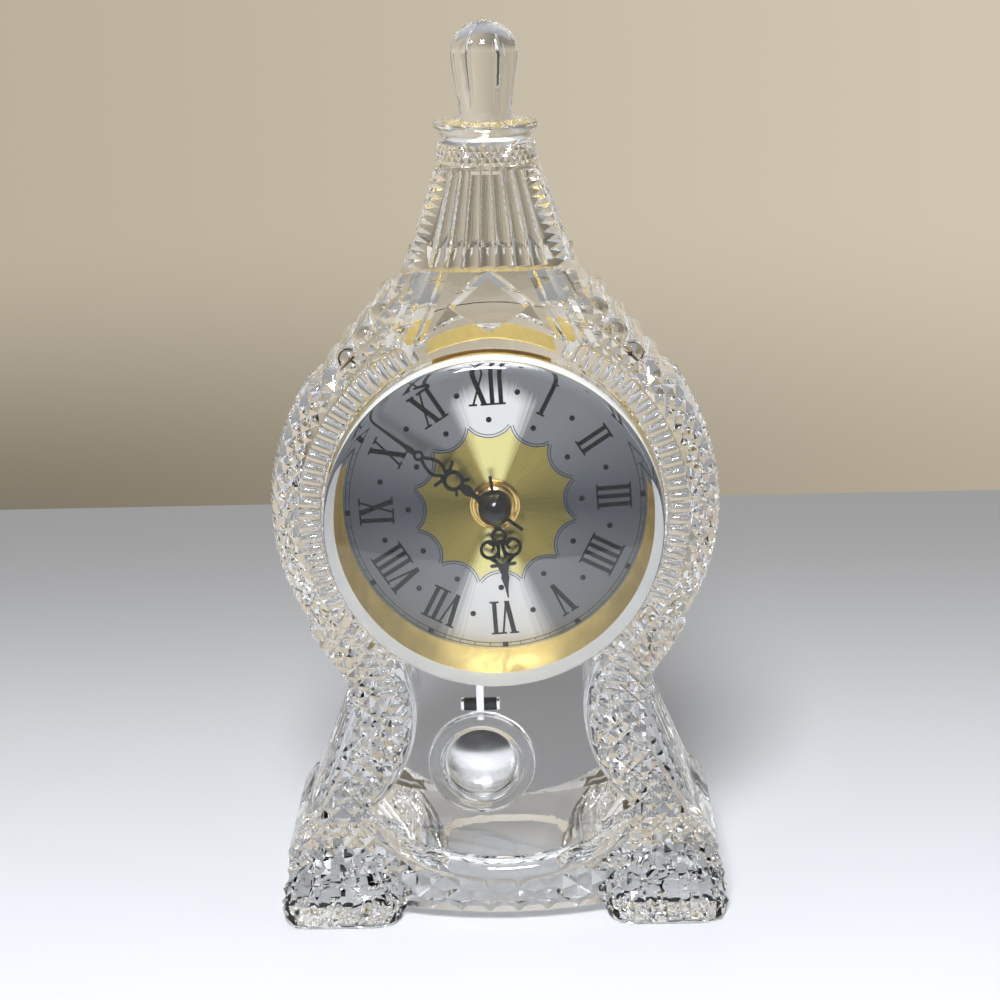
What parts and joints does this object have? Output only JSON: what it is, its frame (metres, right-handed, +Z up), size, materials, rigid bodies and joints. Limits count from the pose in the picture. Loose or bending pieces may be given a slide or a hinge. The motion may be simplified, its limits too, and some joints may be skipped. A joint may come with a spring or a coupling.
{
  "type": "crystal mantel clock",
  "caption": "Cut-crystal mantel clock on four feet with a round dial under a domed lens, a quartz movement, and a pendulum swinging in an open bay below.",
  "frame": {"origin": "middle of the footprint box, on the table under the feet", "axes": "+Z up, the dial faces -Y, +X to the right as seen from the front"},
  "size_m": [0.149, 0.08, 0.295],
  "materials": {
    "cut_crystal": "polished cut lead crystal, clear with a faint cool tint",
    "lens_glass": "polished thick domed glass",
    "clear_vinyl": "soft clear vinyl strip",
    "clear_acrylic": "polished clear acrylic",
    "gold_metal": "bright gold-anodised, lightly brushed",
    "dial_silver": "silver sunray-brushed with printed gold star and black numerals",
    "black_plastic": "matt black moulded plastic",
    "nylon": "natural white nylon",
    "steel": "plain turned steel",
    "magnet_steel": "dark sintered magnet and steel",
    "black_lacquer": "black lacquered metal",
    "copper_wire": "enamelled copper winding",
    "board_green": "green solder mask",
    "cell_jacket": "plain blue-grey cell jacket",
    "nickel": "nickel-plated spring steel",
    "rod_silver": "bright plated strip",
    "smoke_plastic": "dark grey moulded plastic",
    "mirror_silver": "silvered mirror dish"
  },
  "bodies": {
    "case": {"crystal_body": "cut_crystal", "finial": "cut_crystal", "gasket_ring": "clear_vinyl", "lens": "lens_glass", "dial_case": "gold_metal", "dial": "dial_silver", "movement_front": "black_plastic", "movement_back": "black_plastic", "mounting_bush": "gold_metal", "dial_washer": "gold_metal", "hand_nut": "gold_metal", "stator": "steel", "drive_coil": "copper_wire", "circuit_board": "board_green", "battery": "cell_jacket", "battery_contacts": "nickel", "pendulum_coil": "copper_wire", "pivot_pin": "steel"},
    "minute_group": {"minute_arbor": "steel", "minute_hand": "black_lacquer", "hand_cap": "black_lacquer"},
    "hour_group": {"hour_wheel": "nylon", "hour_hand": "black_lacquer"},
    "minute_wheel_group": {"minute_wheel": "nylon", "setting_knob": "black_plastic"},
    "centre_wheel": {"centre_wheel": "nylon"},
    "third_wheel": {"third_wheel": "nylon"},
    "seconds_wheel": {"seconds_wheel": "nylon"},
    "idler_wheel": {"idler_wheel": "nylon"},
    "rotor": {"rotor": "magnet_steel"},
    "pendulum": {"pendulum_lever": "nylon", "lever_magnet": "magnet_steel", "pendulum_rod": "rod_silver", "bob_clip": "smoke_plastic", "bob_ring": "clear_acrylic", "bob_mirror": "mirror_silver"}
  },
  "joints": [
    {"name": "minute_hand_turn", "type": "hinge", "parent": "case", "child": "minute_group", "pos_m": [0, 0.006, 0.1415], "axis": [0, 1, 0], "continuous": true},
    {"name": "hour_hand_turn", "type": "hinge", "parent": "case", "child": "hour_group", "pos_m": [0, 0.006, 0.1415], "axis": [0, 1, 0], "continuous": true},
    {"name": "setting_knob_turn", "type": "hinge", "parent": "case", "child": "minute_wheel_group", "pos_m": [-0.00966, 0.006, 0.14409], "axis": [0, 1, 0], "continuous": true},
    {"name": "seconds_wheel_turn", "type": "hinge", "parent": "case", "child": "seconds_wheel", "pos_m": [0.00698, 0.006, 0.13005], "axis": [0, 1, 0], "continuous": true},
    {"name": "centre_wheel_turn", "type": "hinge", "parent": "case", "child": "centre_wheel", "pos_m": [0, 0.006, 0.1415], "axis": [0, 1, 0], "continuous": true},
    {"name": "third_wheel_turn", "type": "hinge", "parent": "case", "child": "third_wheel", "pos_m": [0.00846, 0.006, 0.13842], "axis": [0, 1, 0], "continuous": true},
    {"name": "idler_wheel_turn", "type": "hinge", "parent": "case", "child": "idler_wheel", "pos_m": [-0.00198, 0.006, 0.13084], "axis": [0, 1, 0], "continuous": true},
    {"name": "rotor_turn", "type": "hinge", "parent": "case", "child": "rotor", "pos_m": [-0.00988, 0.006, 0.12796], "axis": [0, 1, 0], "continuous": true},
    {"name": "pendulum_swing", "type": "hinge", "parent": "case", "child": "pendulum", "pos_m": [-0.0072, 0.0094, 0.12], "axis": [0, 1, 0], "range_deg": [-5, 5]}
  ],
  "couplings": [
    {"joint": "hour_hand_turn", "follows": "minute_hand_turn", "ratio": 0.083333},
    {"joint": "setting_knob_turn", "follows": "minute_hand_turn", "ratio": -0.33333},
    {"joint": "third_wheel_turn", "follows": "seconds_wheel_turn", "ratio": -0.13333},
    {"joint": "centre_wheel_turn", "follows": "seconds_wheel_turn", "ratio": 0.016667},
    {"joint": "idler_wheel_turn", "follows": "seconds_wheel_turn", "ratio": -5},
    {"joint": "rotor_turn", "follows": "seconds_wheel_turn", "ratio": 30}
  ]
}
